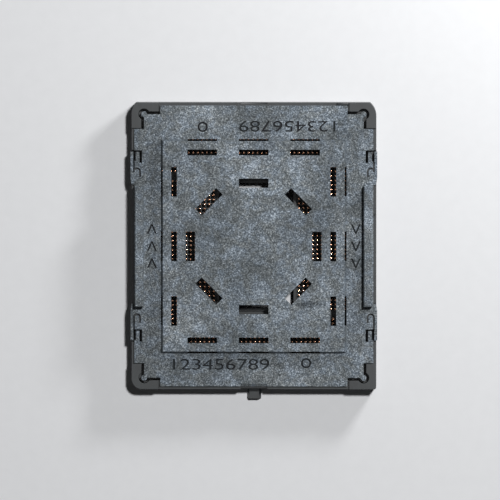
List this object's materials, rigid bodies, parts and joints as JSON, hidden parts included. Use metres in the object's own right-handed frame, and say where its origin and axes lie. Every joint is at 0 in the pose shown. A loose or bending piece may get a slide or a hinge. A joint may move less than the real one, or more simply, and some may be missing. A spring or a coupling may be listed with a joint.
{
  "type": "cpu socket",
  "caption": "Land-grid CPU socket: moulded housing with two banks of sprung contacts under a slotted clip-on protective cover.",
  "frame": {"origin": "centre of the contact field on the board plane, where the standoffs rest", "axes": "+Z away from the board, +Y along the long side away from the small tab, +X across the short side"},
  "size_m": [0.0428, 0.0517, 0.0075],
  "materials": {
    "housing_plastic": "smooth moulded",
    "cover_plastic": "textured, glass filled",
    "contact_metal": "gold plated"
  },
  "bodies": {
    "housing": {"socket_housing": "housing_plastic", "contacts_left_bottom": "contact_metal", "contacts_top_right": "contact_metal"},
    "cover": {"pick_and_place_cover": "cover_plastic"}
  },
  "joints": [
    {"name": "cover_lift", "type": "slide", "parent": "housing", "child": "cover", "axis": [0, 0, 1], "range_m": [0, 0.012]}
  ]
}
